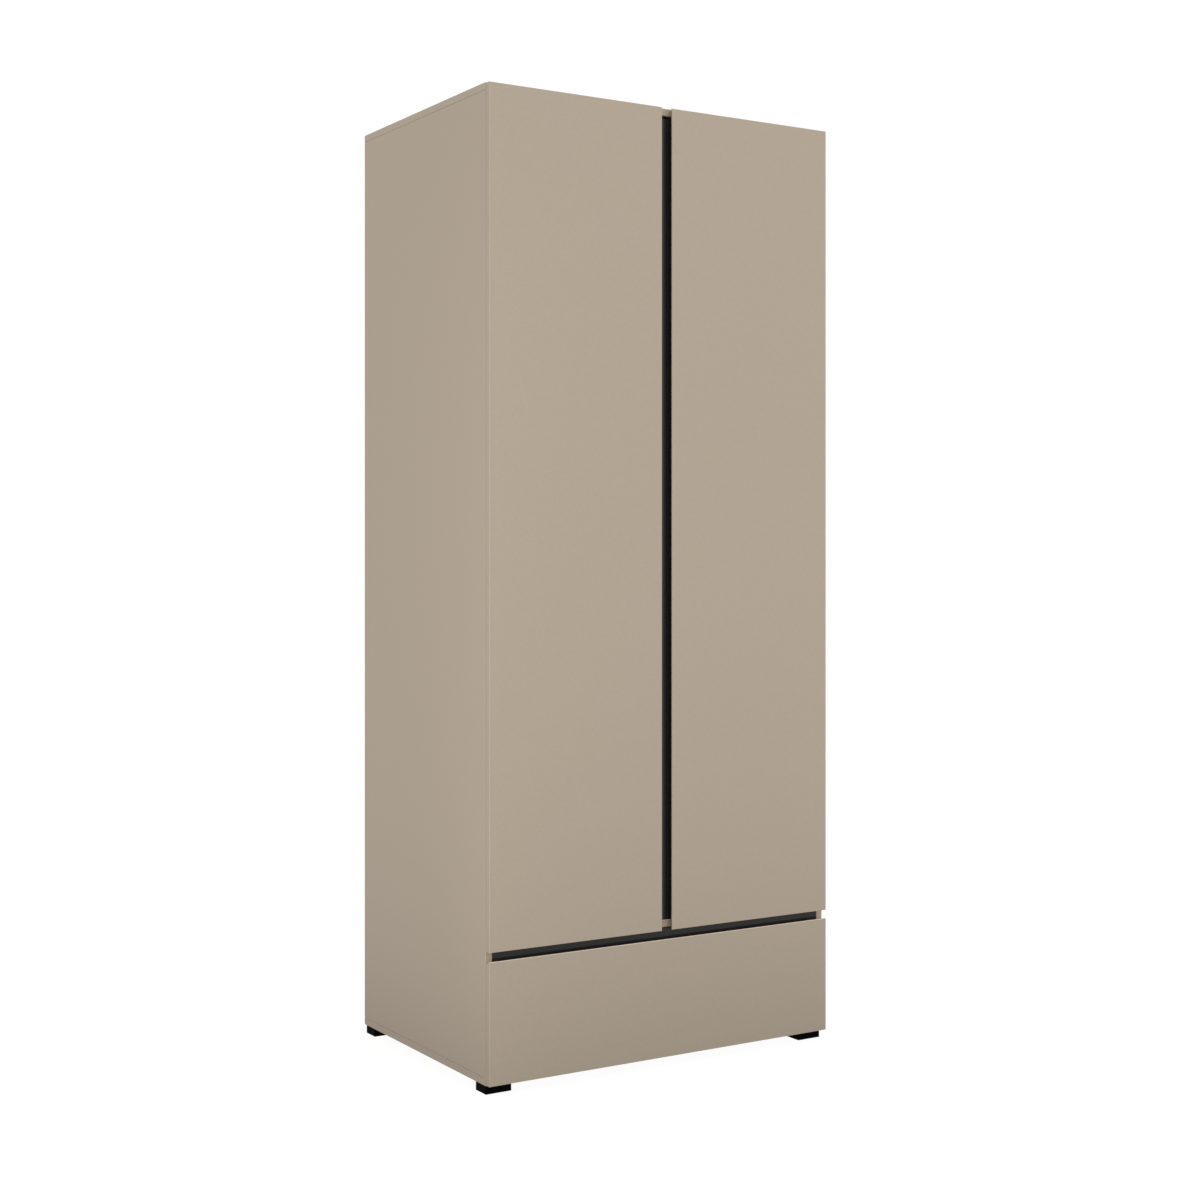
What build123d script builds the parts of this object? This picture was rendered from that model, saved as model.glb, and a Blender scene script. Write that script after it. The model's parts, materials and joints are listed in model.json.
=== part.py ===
from build123d import *

import os
from collections import namedtuple

# A two-door wardrobe with one wide drawer under the doors.
# Millimetres, +Z up, fronts facing -Y. The origin is on the floor, under the middle of the wardrobe.

# ---- Driving dimensions ----
WIDTH = 900
CARCASS_HEIGHT = 2117
CARCASS_DEPTH = 606.5
FOOT_HEIGHT = 20
BOARD = 16  # laminated board of the carcass, the fronts and the drawer box
FRONT_GAP = 0.5  # air between the carcass edges and the back of the fronts
EDGE_TRIM = 0.8  # chamfer on the edge banding of the carcass boards
FRONT_ROUND = 1  # rounding around both faces of the fronts
SEAM_WIDTH = 0.5  # shadow line between the side panels and the boards over and under them
SEAM_DEPTH = 2
PLAY = 0.1  # clearance around anything that sits in a drilled hole

# Fronts, measured from the underside or the top of the carcass
DRAWER_FRONT_LIFT = 1.6
DRAWER_FRONT_HEIGHT = 261.8
FINGER_GROOVE = 19.8  # open height between the drawer front and the doors
DOOR_TOP_DROP = 1.8
FRONT_SIDE_INSET = 0.9
DOOR_SPACING = 27.4  # finger gap between the two doors
FINGER_LAND = 4  # square part of an undercut edge, next to the visible face
DOOR_UNDERCUT = 12
DRAWER_UNDERCUT = 8

# Inside
DECK_TOP_ABOVE_CARCASS = 303.5  # fixed shelf over the drawer
HANDLE_STRIP_WIDTH = 70
HANDLE_STRIP_DROP = 50
STRIP_TOP_GAP = 7
HOLE_PITCH = 32
SHELF_STEPS = (11, 22, 33, 44)  # adjustable shelves, in hole pitches above the fixed shelf
HAT_SHELF_STEP = 48
SHELF_SETBACK = 20
SHELF_SIDE_PLAY = 1
BACK_THICKNESS = 3
GROOVE_DEPTH = 7
GROOVE_WIDTH = 3.2
GROOVE_FROM_BACK = 13

# ---- Planes and levels worked out from them ----
HEIGHT = FOOT_HEIGHT + CARCASS_HEIGHT
DEPTH = BOARD + FRONT_GAP + CARCASS_DEPTH
FRONT_Y = -DEPTH / 2
REAR_OF_FRONTS_Y = FRONT_Y + BOARD
CARCASS_Y = REAR_OF_FRONTS_Y + FRONT_GAP
BACK_Y = DEPTH / 2
OUTER_X = WIDTH / 2
INNER_X = OUTER_X - BOARD
PARTITION_X = BOARD / 2
FLOOR_Z = FOOT_HEIGHT + BOARD
CEILING_Z = HEIGHT - BOARD
DECK_TOP_Z = FOOT_HEIGHT + DECK_TOP_ABOVE_CARCASS
DECK_UNDER_Z = DECK_TOP_Z - BOARD
DRAWER_FRONT_Z = FOOT_HEIGHT + DRAWER_FRONT_LIFT
DOOR_Z = DRAWER_FRONT_Z + DRAWER_FRONT_HEIGHT + FINGER_GROOVE
DOOR_HEIGHT = HEIGHT - DOOR_TOP_DROP - DOOR_Z
GROOVE_Y = BACK_Y - GROOVE_FROM_BACK
BACK_PANEL_Y = GROOVE_Y + (GROOVE_WIDTH - BACK_THICKNESS) / 2
INNER_BACK_Y = GROOVE_Y - 2

CARCASS_SPAN = (CARCASS_Y, BACK_Y)
STRIP_SPAN = (CARCASS_Y, CARCASS_Y + BOARD)
SIDES = ((-1, "left"), (1, "right"))
X, Y, Z = Vector(1, 0, 0), Vector(0, 1, 0), Vector(0, 0, 1)
UPWARD = (Align.CENTER, Align.CENTER, Align.MIN)

os.makedirs("parts", exist_ok=True)


# ---- Helpers that work in the active part ----
def span(side, near, far):
    """The range of x between two distances from the middle, on the left (-1) or on the right (1)."""
    return sorted((side * near, side * far))


def slab(x, y, z, mode=Mode.ADD):
    """A rectangular block between the (low, high) pairs x, y and z."""
    with BuildSketch(Plane.XY.offset(z[0])) as outline:
        with Locations(((x[0] + x[1]) / 2, (y[0] + y[1]) / 2)):
            Rectangle(x[1] - x[0], y[1] - y[0])
    extrude(outline.sketch, amount=z[1] - z[0], mode=mode)


def planes(points, direction):
    """One plane at each point, facing along direction."""
    return [Plane(origin=point, z_dir=direction) for point in points]


def drill(radius, depth, mouth, points):
    """Blind holes at the points. Their mouths face along mouth."""
    with Locations(*planes(points, mouth)):
        Hole(radius, depth)


def rods(radius, length, direction, points):
    """Round pieces that start at the points and run along direction."""
    with Locations(*planes(points, direction)):
        Cylinder(radius, length, align=UPWARD)


def save(piece, label):
    """Names a finished piece and writes its file."""
    piece.part.label = label
    export_step(piece.part, f"parts/{label}.step")


# ---- Fasteners: each kind has one shape, and one way to drill for it ----
Screw = namedtuple("Screw", "radius length head_radius head_height")
PLATE_SCREW = Screw(1.75, 12, 3.4, 1.2)
BOX_SCREW = Screw(2.5, 42, 4, 3)
FRONT_SCREW = Screw(2, 26, 4, 2)
FOOT_SCREW = Screw(2.25, 21, 4.2, 2.5)

CAM_RADIUS = 7.4
CAM_DEPTH = 12
CAM_SETBACK = 24  # from the end of a board to the middle of its cam
BOLT_RADIUS = 2.9
BOLT_HEAD_RADIUS = 3.5
BOLT_BITE = 11  # length of thread in the facing board
DOWEL_RADIUS = 4
BOLT_NECK_RADIUS = 2.5
BOLT_HEAD_LENGTH = 3
CAM_SLOT_WIDTH = 8  # the slot that lets the head of a bolt into its cam
CAM_SLOT_DEPTH = 9
DOWEL_BITE = 11
DOWEL_TAIL = 19
DOWEL_END_PLAY = 0.5


def drive_screws(kind, into, points):
    """Screws whose heads sit on the points and whose shanks run along into."""
    rods(kind.radius, kind.length, into, points)
    rods(kind.head_radius, kind.head_height, -into, points)


def pilot_holes(kind, mouth, points, through=0):
    """Holes for the shanks that are left after passing through another piece."""
    drill(kind.radius + PLAY, kind.length - through + PLAY, mouth, points)


# A joint between two boards: the end of board meets the face of mate at the point, along toward.
Joint = namedtuple("Joint", "board mate point toward mouth")
SIDE_CAM_YS = (CARCASS_Y + 70, BACK_Y - 90)
SIDE_DOWEL_YS = (CARCASS_Y + 38, 0, BACK_Y - 58)
END_X = INNER_X + BOARD / 2
MIDDECK_Z = DECK_TOP_Z - BOARD / 2
STRIP_MIDDLE_Y = CARCASS_Y + BOARD / 2
STRIP_DOWEL_ZS = [DECK_TOP_Z + 150 + level * 370 for level in range(5)]
STRIP_DOWEL_XS = (-300, 0, 300)


def board_joints(ys):
    """The joints between the boards of the carcass, at each of the depths ys."""
    joints = []
    for y in ys:
        for side, hand in SIDES:
            panel = f"side_panel_{hand}"
            joints.append(Joint(panel, "top_panel", Vector(side * END_X, y, CEILING_Z), Z, -side * X))
            joints.append(Joint(panel, "bottom_panel", Vector(side * END_X, y, FLOOR_Z), -Z, -side * X))
            joints.append(Joint("fixed_shelf", panel, Vector(side * INNER_X, y, MIDDECK_Z), side * X, -Z))
        joints.append(Joint("centre_partition", "top_panel", Vector(0, y, CEILING_Z), Z, X))
        joints.append(Joint("centre_partition", "fixed_shelf", Vector(0, y, DECK_TOP_Z), -Z, X))
    return joints


CAM_JOINTS = board_joints(SIDE_CAM_YS)
DOWEL_JOINTS = board_joints(SIDE_DOWEL_YS)
for z in STRIP_DOWEL_ZS:
    strip_back = Vector(0, CARCASS_Y + BOARD, z)
    DOWEL_JOINTS.append(Joint("centre_partition", "vertical_handle_strip", strip_back, -Y, X))
for x in STRIP_DOWEL_XS:
    strip_top = Vector(x, STRIP_MIDDLE_Y, DECK_UNDER_Z)
    DOWEL_JOINTS.append(Joint("horizontal_handle_strip", "fixed_shelf", strip_top, Z, Y))


def drill_joints(name):
    """Cuts the bores of every cam, bolt and dowel that belongs to the board called name."""
    for joint in CAM_JOINTS:
        cam = joint.point - joint.toward * CAM_SETBACK + joint.mouth * (BOARD / 2)
        if joint.board == name:
            drill(CAM_RADIUS + PLAY, CAM_DEPTH + PLAY, joint.mouth, [cam])
            drill(BOLT_HEAD_RADIUS + PLAY, CAM_SETBACK, joint.toward, [joint.point])
        if joint.mate == name:
            drill(BOLT_RADIUS + PLAY, BOLT_BITE + PLAY, -joint.toward, [joint.point])
    for joint in DOWEL_JOINTS:
        if joint.board == name:
            drill(DOWEL_RADIUS + PLAY, DOWEL_TAIL + DOWEL_END_PLAY, joint.toward, [joint.point])
        if joint.mate == name:
            drill(DOWEL_RADIUS + PLAY, DOWEL_BITE + DOWEL_END_PLAY, -joint.toward, [joint.point])


# ---- Places shared by several pieces ----
HINGE_ZS = [DOOR_Z + 100 + step * (DOOR_HEIGHT - 200) / 3 for step in range(4)]
PLATE_ROW_Y = CARCASS_Y + 37  # drilled row for hinge plates and runners
PLATE_SCREW_RISE = 16
HINGE_PLATE_SHEET = 2
PIN_RADIUS = 2.5
PIN_BITE = 9
PARTITION_PIN_BITE = 6  # pins enter the partition from both sides
PIN_END_PLAY = 1
PIN_YS = (CARCASS_Y + 64, BACK_Y - 80)
RUNNER_Z = 120
RUNNER_YS = (PLATE_ROW_Y, PLATE_ROW_Y + 224, PLATE_ROW_Y + 416)
RUNNER_LENGTH = 500
RUNNER_SPAN = (CARCASS_Y + 3, CARCASS_Y + 3 + RUNNER_LENGTH)
RUNNER_WIDTH = 12.7
RAIL_Y = 10
RAIL_Z = DECK_TOP_Z + 1478
HOLDER_SCREW_RISE = 22
BRACKET_X = 408
BRACKET_WIDTH = 30
BRACKET_LEG = 40
BRACKET_SHEET = 2
BRACKET_Y = BACK_PANEL_Y - 0.2
BRACKET_SCREW_SHIFT = 8
BRACKET_SCREW_SETBACK = 20
WALL_SCREW_RADIUS = 2.75
WALL_SCREW_Z = CEILING_Z - 20


def pin_height(step):
    """Centre of the pin holes at a number of pitches above the fixed shelf."""
    return DECK_TOP_Z + step * HOLE_PITCH


def plate_screw_points(side):
    """Seats of the screws of the hinge plates, on the face of the plates."""
    face_x = side * (INNER_X - HINGE_PLATE_SHEET)
    rises = (-PLATE_SCREW_RISE, PLATE_SCREW_RISE)
    return [(face_x, PLATE_ROW_Y, z + rise) for z in HINGE_ZS for rise in rises]


def on_face(points, x):
    """The same points, moved square to the side panels onto the plane at x."""
    return [(x, point[1], point[2]) for point in points]


RUNNER_SCREW_POINTS = [(0, y, RUNNER_Z) for y in RUNNER_YS]
HOLDER_SCREW_POINTS = [(0, RAIL_Y, RAIL_Z + rise) for rise in (-HOLDER_SCREW_RISE, HOLDER_SCREW_RISE)]
PIN_HOLE_POINTS = [
    (0, y, pin_height(step) + row * HOLE_PITCH)
    for step in SHELF_STEPS + (HAT_SHELF_STEP,)
    for row in (-1, 0, 1)
    for y in PIN_YS
]
BRACKET_SCREW_POINTS = [
    (side * BRACKET_X + shift, INNER_BACK_Y - BRACKET_SCREW_SETBACK, CEILING_Z - BRACKET_SHEET)
    for side, hand in SIDES
    for shift in (-BRACKET_SCREW_SHIFT, BRACKET_SCREW_SHIFT)
]

# ---- Carcass boards ----
for side, hand in SIDES:
    with BuildPart() as side_panel:
        slab(span(side, INNER_X, OUTER_X), CARCASS_SPAN, (FLOOR_Z, CEILING_Z))
        chamfer(side_panel.edges(), EDGE_TRIM)
        for seam in ((FLOOR_Z, FLOOR_Z + SEAM_WIDTH), (CEILING_Z - SEAM_WIDTH, CEILING_Z)):
            slab(span(side, OUTER_X - SEAM_DEPTH, OUTER_X), CARCASS_SPAN, seam, Mode.SUBTRACT)
        slab(span(side, INNER_X, INNER_X + GROOVE_DEPTH), (GROOVE_Y, GROOVE_Y + GROOVE_WIDTH),
             (FLOOR_Z, CEILING_Z), Mode.SUBTRACT)
        drill_joints(f"side_panel_{hand}")
        inner_face = side * INNER_X
        drill(PIN_RADIUS, PIN_BITE + PIN_END_PLAY, -side * X, on_face(PIN_HOLE_POINTS, inner_face))
        pilot_holes(PLATE_SCREW, -side * X, on_face(plate_screw_points(side), inner_face), HINGE_PLATE_SHEET)
        pilot_holes(PLATE_SCREW, -side * X, on_face(RUNNER_SCREW_POINTS, inner_face))
        if hand == "right":
            pilot_holes(PLATE_SCREW, -side * X, on_face(HOLDER_SCREW_POINTS, inner_face))
    save(side_panel, f"side_panel_{hand}")

with BuildPart() as top_panel:
    slab((-OUTER_X, OUTER_X), CARCASS_SPAN, (CEILING_Z, HEIGHT))
    chamfer(top_panel.edges(), EDGE_TRIM)
    slab((-INNER_X - GROOVE_DEPTH, INNER_X + GROOVE_DEPTH), (GROOVE_Y, GROOVE_Y + GROOVE_WIDTH),
         (CEILING_Z, CEILING_Z + GROOVE_DEPTH), Mode.SUBTRACT)
    drill_joints("top_panel")
    drill(PLATE_SCREW.radius + PLAY, PLATE_SCREW.length, -Z,
          [(x, y, CEILING_Z) for x, y, z in BRACKET_SCREW_POINTS])
save(top_panel, "top_panel")

# Places of the feet, which the bottom panel is drilled for.
FOOT_SIZE = (62, 45)
FOOT_CORNER = 1
FOOT_CHAMFER = 0.5
FOOT_HEAD_PLAY = 0.8
FOOT_SIDE_INSET = 3.5
FOOT_FRONT_INSET = 5
FOOT_BACK_INSET = 4
FOOT_X = OUTER_X - FOOT_SIDE_INSET - FOOT_SIZE[0] / 2
FOOT_FRONT_Y = CARCASS_Y + FOOT_FRONT_INSET + FOOT_SIZE[1] / 2
FOOT_REAR_Y = BACK_Y - FOOT_BACK_INSET - FOOT_SIZE[1] / 2
FOOT_SCREW_SHIFT = 14
FOOT_RECESS = 8  # depth of the recess for the screw heads
FEET = [(side * FOOT_X, y, f"foot_{place}_{hand}")
        for y, place in ((FOOT_FRONT_Y, "front"), (FOOT_REAR_Y, "rear")) for side, hand in SIDES]
FOOT_SCREW_SPOTS = [(x + shift, y) for x, y, name in FEET for shift in (-FOOT_SCREW_SHIFT, FOOT_SCREW_SHIFT)]

with BuildPart() as bottom_panel:
    slab((-OUTER_X, OUTER_X), CARCASS_SPAN, (FOOT_HEIGHT, FLOOR_Z))
    chamfer(bottom_panel.edges(), EDGE_TRIM)
    slab((-INNER_X - GROOVE_DEPTH, INNER_X + GROOVE_DEPTH), (GROOVE_Y, GROOVE_Y + GROOVE_WIDTH),
         (FLOOR_Z - GROOVE_DEPTH, FLOOR_Z), Mode.SUBTRACT)
    drill_joints("bottom_panel")
    pilot_holes(FOOT_SCREW, -Z, [(x, y, FOOT_HEIGHT) for x, y in FOOT_SCREW_SPOTS], FOOT_HEIGHT - FOOT_RECESS)
save(bottom_panel, "bottom_panel")

with BuildPart() as fixed_shelf:
    slab((-INNER_X, INNER_X), (CARCASS_Y, INNER_BACK_Y), (DECK_UNDER_Z, DECK_TOP_Z))
    chamfer(fixed_shelf.edges(), EDGE_TRIM)
    drill_joints("fixed_shelf")
save(fixed_shelf, "fixed_shelf")

with BuildPart() as centre_partition:
    slab((-PARTITION_X, PARTITION_X), (CARCASS_Y + BOARD, INNER_BACK_Y), (DECK_TOP_Z, CEILING_Z))
    chamfer(centre_partition.edges(), EDGE_TRIM)
    drill_joints("centre_partition")
    left_holes = [point for point in PIN_HOLE_POINTS if point[2] < pin_height(HAT_SHELF_STEP - 1)]
    right_holes = [point for point in PIN_HOLE_POINTS if point[2] >= pin_height(HAT_SHELF_STEP - 1)]
    drill(PIN_RADIUS, PARTITION_PIN_BITE + PIN_END_PLAY, -X, on_face(left_holes, -PARTITION_X))
    drill(PIN_RADIUS, PARTITION_PIN_BITE + PIN_END_PLAY, X, on_face(right_holes, PARTITION_X))
    pilot_holes(PLATE_SCREW, X, on_face(HOLDER_SCREW_POINTS, PARTITION_X))
save(centre_partition, "centre_partition")

# ---- Black strips behind the finger gaps ----
with BuildPart() as vertical_handle_strip:
    slab((-HANDLE_STRIP_WIDTH / 2, HANDLE_STRIP_WIDTH / 2), STRIP_SPAN,
         (DECK_TOP_Z, CEILING_Z - STRIP_TOP_GAP))
    chamfer(vertical_handle_strip.edges(), EDGE_TRIM)
    drill_joints("vertical_handle_strip")
save(vertical_handle_strip, "vertical_handle_strip")

with BuildPart() as horizontal_handle_strip:
    slab((-INNER_X, INNER_X), STRIP_SPAN, (DECK_UNDER_Z - HANDLE_STRIP_DROP, DECK_UNDER_Z))
    chamfer(horizontal_handle_strip.edges(), EDGE_TRIM)
    drill_joints("horizontal_handle_strip")
save(horizontal_handle_strip, "horizontal_handle_strip")

# ---- Back ----
PROFILE_WEB = 2
PROFILE_FLANGE = 1
PROFILE_WIDTH = 18
PROFILE_PLAY = 0.3
PROFILE_END_PLAY = 0.5
BACK_CORNER_CUT = 70  # the top outer corner is cut off, to give a wall screw its way
GROOVE_PLAY = 1  # air between the edge of a back panel and the bottom of its groove
BACK_SPAN_Z = (FLOOR_Z - GROOVE_DEPTH + GROOVE_PLAY, CEILING_Z + GROOVE_DEPTH - GROOVE_PLAY)
BACK_SPAN_Y = (BACK_PANEL_Y, BACK_PANEL_Y + BACK_THICKNESS)

for side, hand in SIDES:
    with BuildPart() as back_panel:
        panel_x = span(side, PROFILE_WEB / 2 + PROFILE_PLAY, INNER_X + GROOVE_DEPTH - GROOVE_PLAY)
        slab(panel_x, BACK_SPAN_Y, BACK_SPAN_Z)
        corners = back_panel.edges().filter_by(Axis.Y)
        top_corner = corners.sort_by(lambda edge: side * edge.center().X + edge.center().Z)[-1]
        chamfer(top_corner, BACK_CORNER_CUT)
    save(back_panel, f"back_panel_{hand}")

with BuildPart() as back_joining_profile:
    web_y = (BACK_SPAN_Y[0] - PLAY, BACK_SPAN_Y[1] + PLAY)
    profile_z = (FLOOR_Z + PROFILE_END_PLAY, CEILING_Z - PROFILE_END_PLAY)
    slab((-PROFILE_WEB / 2, PROFILE_WEB / 2), web_y, profile_z)
    for flange_y in ((web_y[0] - PROFILE_FLANGE, web_y[0]), (web_y[1], web_y[1] + PROFILE_FLANGE)):
        slab((-PROFILE_WIDTH / 2, PROFILE_WIDTH / 2), flange_y, profile_z)
save(back_joining_profile, "back_joining_profile")

# ---- Shelves, their pins, and the hanging rail ----
SHELF_SPAN_Y = (CARCASS_Y + SHELF_SETBACK, INNER_BACK_Y - 1)
LEFT_BAY = (-INNER_X + SHELF_SIDE_PLAY, -PARTITION_X - SHELF_SIDE_PLAY)
RIGHT_BAY = (PARTITION_X + SHELF_SIDE_PLAY, INNER_X - SHELF_SIDE_PLAY)
PIN_REACH = 7

for number, step in enumerate(SHELF_STEPS, start=1):
    underside = pin_height(step) + PIN_RADIUS
    with BuildPart() as shelf:
        slab(LEFT_BAY, SHELF_SPAN_Y, (underside, underside + BOARD))
        chamfer(shelf.edges(), EDGE_TRIM)
    save(shelf, f"shelf_{number}")

HAT_SHELF_Z = pin_height(HAT_SHELF_STEP) + PIN_RADIUS
with BuildPart() as hat_shelf:
    slab(RIGHT_BAY, SHELF_SPAN_Y, (HAT_SHELF_Z, HAT_SHELF_Z + BOARD))
    chamfer(hat_shelf.edges(), EDGE_TRIM)
save(hat_shelf, "hat_shelf")

with BuildPart() as shelf_pins:
    bays = [(-INNER_X, -PARTITION_X, step) for step in SHELF_STEPS] + [(PARTITION_X, INNER_X, HAT_SHELF_STEP)]
    for low_x, high_x, step in bays:
        heights = [(y, pin_height(step)) for y in PIN_YS]
        bites = (PIN_BITE, PARTITION_PIN_BITE)
        low_bite, high_bite = bites if low_x < -PARTITION_X else reversed(bites)
        rods(PIN_RADIUS - PLAY, low_bite + PIN_REACH, X, [(low_x - low_bite, y, z) for y, z in heights])
        rods(PIN_RADIUS - PLAY, high_bite + PIN_REACH, -X, [(high_x + high_bite, y, z) for y, z in heights])
save(shelf_pins, "shelf_pins")

RAIL_SIZE = (30, 15)
RAIL_WALL = 1
HOLDER_PLATE = 2
HOLDER_DEPTH = 14
HOLDER_WALL = 2
HOLDER_PLATE_SIZE = (2 * HOLDER_SCREW_RISE + 14, 24)
RAIL_END_PLAY = 0.5
RAIL_LENGTH = INNER_X - PARTITION_X - 2 * (HOLDER_PLATE + RAIL_END_PLAY)

with BuildPart() as hanging_rail:
    with BuildSketch(Plane((PARTITION_X + HOLDER_PLATE + RAIL_END_PLAY, RAIL_Y, RAIL_Z), x_dir=Y, z_dir=X)):
        SlotOverall(*RAIL_SIZE, rotation=90)
        SlotOverall(*[size - 2 * RAIL_WALL for size in RAIL_SIZE], rotation=90, mode=Mode.SUBTRACT)
    extrude(amount=RAIL_LENGTH)
save(hanging_rail, "hanging_rail")

for wall_x, facing, hand in ((PARTITION_X, X, "left"), (INNER_X, -X, "right")):
    wall = Plane((wall_x, RAIL_Y, RAIL_Z), x_dir=Y, z_dir=facing)
    with BuildPart() as rail_holder:
        with BuildSketch(wall):
            SlotOverall(*HOLDER_PLATE_SIZE, rotation=90)
        extrude(amount=HOLDER_PLATE)
        with BuildSketch(wall.offset(HOLDER_PLATE)):
            SlotOverall(RAIL_SIZE[0] + 2 * HOLDER_WALL, RAIL_SIZE[1] + 2 * HOLDER_WALL, rotation=90)
            SlotOverall(RAIL_SIZE[0] + 4 * PLAY, RAIL_SIZE[1] + 4 * PLAY, rotation=90, mode=Mode.SUBTRACT)
        extrude(amount=HOLDER_DEPTH)
        drill(PLATE_SCREW.radius + PLAY, HOLDER_PLATE, facing,
              on_face(HOLDER_SCREW_POINTS, wall_x + facing.X * HOLDER_PLATE))
    save(rail_holder, f"rail_holder_{hand}")

# ---- Concealed hinges: plates and arms on the carcass ----
PLATE_WING = (8, 25)  # half sizes of a hinge plate's wings, along y and z
PLATE_BLOCK = (20, 7)  # half sizes of the raised block that an arm sits on
PLATE_BLOCK_HEIGHT = 6
ARM_HALF_WIDTH = 9
ARM_SHEET = 1.2
ARM_TOP = 24.2
ARM_BACK = 84
# An arm seen from above, from the front outer corner of the wardrobe: (inward, behind).
ARM_OUTLINE = (
    (18.3, ARM_BACK), (ARM_TOP, ARM_BACK), (ARM_TOP, 16), (27.5, 11),
    (26, 8), (22.5, 7.5), (19.5, 12), (18.3, 22),
)
ARM_POCKET = (22, ARM_BACK + 1)  # the stretch where an arm is a channel, and not solid


def from_corner(side, inward, behind):
    """A point in plan, from the front outer corner of the wardrobe."""
    return (side * (OUTER_X - inward), FRONT_Y + behind)


for side, hand in SIDES:
    with BuildPart() as hinge_plates:
        for z in HINGE_ZS:
            wings, block = (HINGE_PLATE_SHEET, *PLATE_WING), (PLATE_BLOCK_HEIGHT, *PLATE_BLOCK)
            for rise, half_y, half_z in (wings, block):
                slab(span(side, INNER_X - rise, INNER_X), (PLATE_ROW_Y - half_y, PLATE_ROW_Y + half_y),
                     (z - half_z, z + half_z))
        drill(PLATE_SCREW.radius + PLAY, HINGE_PLATE_SHEET, -side * X, plate_screw_points(side))
    save(hinge_plates, f"{hand}_hinge_plates")

    # Each arm is a channel over its plate, with a solid nose that reaches into the cup in the door.
    with BuildPart() as hinge_arms:
        with BuildSketch(*[Plane.XY.offset(z - ARM_HALF_WIDTH) for z in HINGE_ZS]):
            with BuildLine():
                Polyline(*[from_corner(side, *spot) for spot in ARM_OUTLINE], close=True)
            make_face()
        extrude(amount=2 * ARM_HALF_WIDTH)
        for z in HINGE_ZS:
            pocket_x = span(side, OUTER_X - ARM_TOP + ARM_SHEET, OUTER_X - BOARD)
            pocket_y = [FRONT_Y + behind for behind in ARM_POCKET]
            inside = ARM_HALF_WIDTH - ARM_SHEET
            slab(pocket_x, pocket_y, (z - inside, z + inside), Mode.SUBTRACT)
    save(hinge_arms, f"{hand}_hinge_arms")

# ---- Drawer runners: three nested channels on each side ----
Channel = namedtuple("Channel", "web_at open_to half_height")
RUNNER_SHEET = 1.2
CABINET_MEMBER = Channel(0, 9.6, 22.5)
MIDDLE_MEMBER = Channel(2.8, 10.4, 19)
DRAWER_MEMBER = Channel(RUNNER_WIDTH - RUNNER_SHEET, 5.2, 15.5)


def channel(side, member):
    """A runner member. Distances in member count from the inner face of the side panel."""
    web = sorted((INNER_X - member.web_at, INNER_X - member.web_at - RUNNER_SHEET))
    flange = sorted((INNER_X - member.open_to, web[0] if member.open_to > member.web_at else web[1]))
    slab(span(side, *web), RUNNER_SPAN, (RUNNER_Z - member.half_height, RUNNER_Z + member.half_height))
    for up in (-1, 1):
        edge = sorted(RUNNER_Z + up * half for half in (member.half_height, member.half_height - RUNNER_SHEET))
        slab(span(side, *flange), RUNNER_SPAN, edge)


for side, hand in SIDES:
    with BuildPart() as runner_rail:
        channel(side, CABINET_MEMBER)
        drill(PLATE_SCREW.radius + PLAY, RUNNER_SHEET, -side * X,
              on_face(RUNNER_SCREW_POINTS, side * (INNER_X - RUNNER_SHEET)))
    save(runner_rail, f"runner_rail_{hand}")

    with BuildPart() as runner_slide:
        channel(side, MIDDLE_MEMBER)
    save(runner_slide, f"runner_slide_{hand}")

    with BuildPart() as drawer_runner:
        channel(side, DRAWER_MEMBER)
        drill(PLATE_SCREW.radius + PLAY, RUNNER_SHEET, side * X,
              on_face(RUNNER_SCREW_POINTS, side * (INNER_X - RUNNER_WIDTH + RUNNER_SHEET)))
    save(drawer_runner, f"drawer_runner_{hand}")

# ---- Feet ----
for x, y, name in FEET:
    with BuildPart() as foot:
        with BuildSketch(Plane.XY):
            with Locations((x, y)):
                RectangleRounded(*FOOT_SIZE, FOOT_CORNER)
        extrude(amount=FOOT_HEIGHT)
        chamfer(foot.faces().sort_by(Axis.Z)[0].edges(), FOOT_CHAMFER)
        spots = [(x - FOOT_SCREW_SHIFT, y, 0), (x + FOOT_SCREW_SHIFT, y, 0)]
        drill(FOOT_SCREW.radius + PLAY, FOOT_HEIGHT, -Z, spots)
        drill(FOOT_SCREW.head_radius + FOOT_HEAD_PLAY, FOOT_RECESS, -Z, spots)
    save(foot, name)

with BuildPart() as foot_screws:
    drive_screws(FOOT_SCREW, Z, [(x, y, FOOT_RECESS) for x, y in FOOT_SCREW_SPOTS])
save(foot_screws, "foot_screws")

# ---- Cam connectors and dowels ----
with BuildPart() as cam_locks:
    for joint in CAM_JOINTS:
        centre = joint.point - joint.toward * CAM_SETBACK
        bed = centre + joint.mouth * (BOARD / 2 - CAM_DEPTH)
        slot = Plane(origin=centre, x_dir=joint.mouth, z_dir=joint.toward)
        with Locations(Plane(origin=bed, z_dir=joint.mouth)):
            Cylinder(CAM_RADIUS, CAM_DEPTH, align=UPWARD)
        with Locations(slot.offset(-BOLT_HEAD_LENGTH)):
            Box(CAM_SLOT_DEPTH, CAM_SLOT_WIDTH, CAM_SETBACK / 2, align=UPWARD, mode=Mode.SUBTRACT)
save(cam_locks, "cam_locks")

with BuildPart() as cam_bolts:
    for joint in CAM_JOINTS:
        rods(BOLT_RADIUS, BOLT_BITE, joint.toward, [joint.point])
        rods(BOLT_NECK_RADIUS, CAM_SETBACK, -joint.toward, [joint.point])
        rods(BOLT_HEAD_RADIUS, BOLT_HEAD_LENGTH, joint.toward, [joint.point - joint.toward * CAM_SETBACK])
save(cam_bolts, "cam_bolts")

with BuildPart() as dowels:
    for joint in DOWEL_JOINTS:
        rods(DOWEL_RADIUS, DOWEL_BITE + DOWEL_TAIL, joint.toward, [joint.point - joint.toward * DOWEL_TAIL])
save(dowels, "dowels")

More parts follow.
